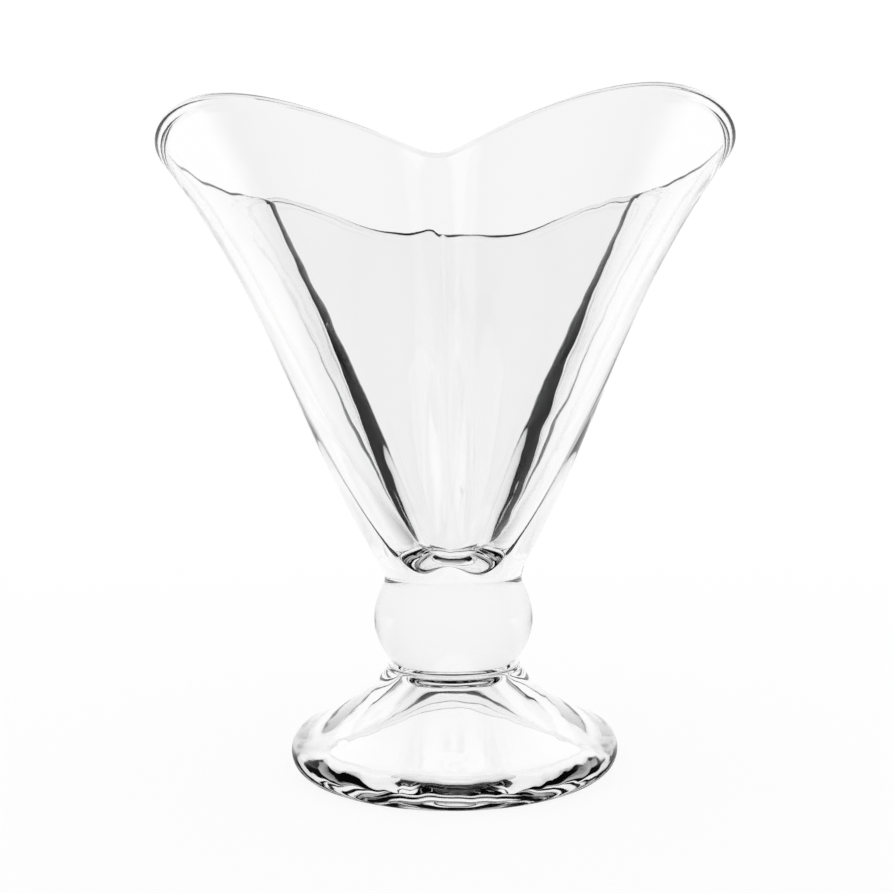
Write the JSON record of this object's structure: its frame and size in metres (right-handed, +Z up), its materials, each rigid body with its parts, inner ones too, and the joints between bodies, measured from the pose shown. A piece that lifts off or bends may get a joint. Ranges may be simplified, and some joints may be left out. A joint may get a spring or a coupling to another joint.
{
  "type": "footed glass salad cup",
  "caption": "Clear pressed-glass salad cup: a flared bowl with a rim of petals and notches, on a short ball stem and a domed, hollow foot.",
  "frame": {"origin": "middle of the ring that the foot rests on, on the table plane", "axes": "+Z up along the cup's axis; the notches of the rim lie along X and Y and the petals on the diagonals; the pictured side faces -Y"},
  "size_m": [0.1122, 0.1122, 0.1314],
  "materials": {
    "clear_glass": "fire-polished, clear and colourless, with faint pressing waves"
  },
  "bodies": {
    "root": {"foot": "clear_glass", "lower_collar": "clear_glass", "stem_ball": "clear_glass", "upper_collar": "clear_glass", "bowl": "clear_glass"}
  },
  "joints": []
}
